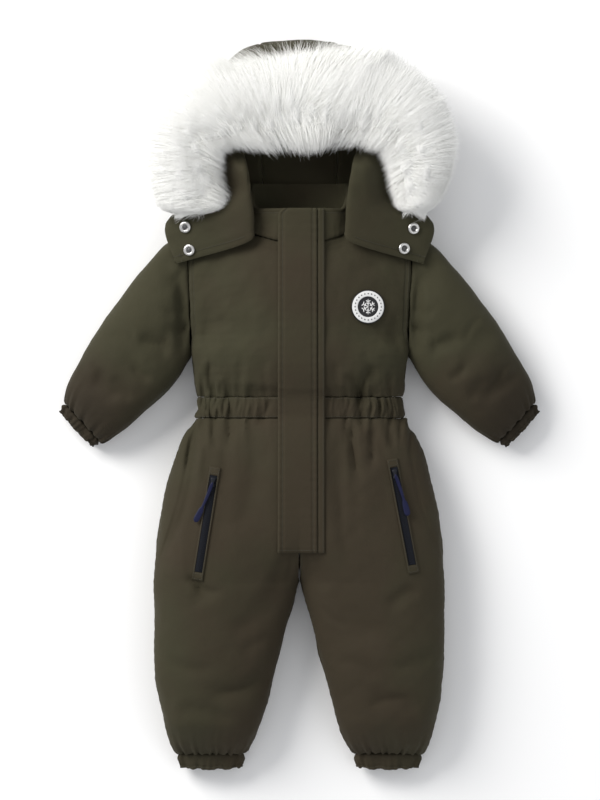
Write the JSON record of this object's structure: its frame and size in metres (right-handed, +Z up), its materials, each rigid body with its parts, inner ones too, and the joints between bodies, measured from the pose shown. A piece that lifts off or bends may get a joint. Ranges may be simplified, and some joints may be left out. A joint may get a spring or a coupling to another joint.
{
  "type": "toddler snowsuit, laid flat on its back",
  "caption": "Padded toddler one-piece snowsuit with fur-trimmed hood, placket, zipped pockets and elastic cuffs, laid flat.",
  "frame": {"origin": "middle of the bounding box's underside, on the surface that the suit lies on", "axes": "+X towards the wearer's left, +Y from the ankles to the hood, +Z up out of the front"},
  "size_m": [0.6286, 0.9494, 0.1235],
  "materials": {
    "shell": "matt olive drab woven polyester with a soft sheen",
    "cuff": "matt olive drab cloth gathered on elastic",
    "fur": "long white pile with pale grey roots",
    "snap": "polished nickel",
    "patch_dark": "matt moulded black",
    "patch_pale": "matt moulded white",
    "zip": "matt dark woven tape with moulded coil",
    "pull": "navy cord with a moulded end"
  },
  "bodies": {
    "root": {"bodice_front_right": "shell", "bodice_front_left": "shell", "bodice_back": "shell", "waist_casing_front_right": "shell", "waist_casing_front_left": "shell", "waist_casing_back": "shell", "trouser_front_right": "shell", "trouser_front_left": "shell", "trouser_back_right": "shell", "trouser_back_left": "shell", "sleeve_right": "shell", "sleeve_left": "shell", "wrist_cuff_right": "cuff", "wrist_cuff_left": "cuff", "ankle_cuff_right": "cuff", "ankle_cuff_left": "cuff", "collar": "shell", "placket": "shell", "placket_band": "shell", "hood_centre": "shell", "hood_side_right": "shell", "hood_side_left": "shell", "fur_trim": "fur", "snap_right_upper": "snap", "snap_right_lower": "snap", "snap_left_upper": "snap", "snap_left_lower": "snap", "chest_patch": "patch_dark", "chest_patch_ring": "patch_pale", "pocket_welt_right": "shell", "pocket_zip_right": "zip", "zip_slider_right": "zip", "zip_pull_right": "pull", "pocket_welt_left": "shell", "pocket_zip_left": "zip", "zip_slider_left": "zip", "zip_pull_left": "pull"}
  },
  "joints": []
}
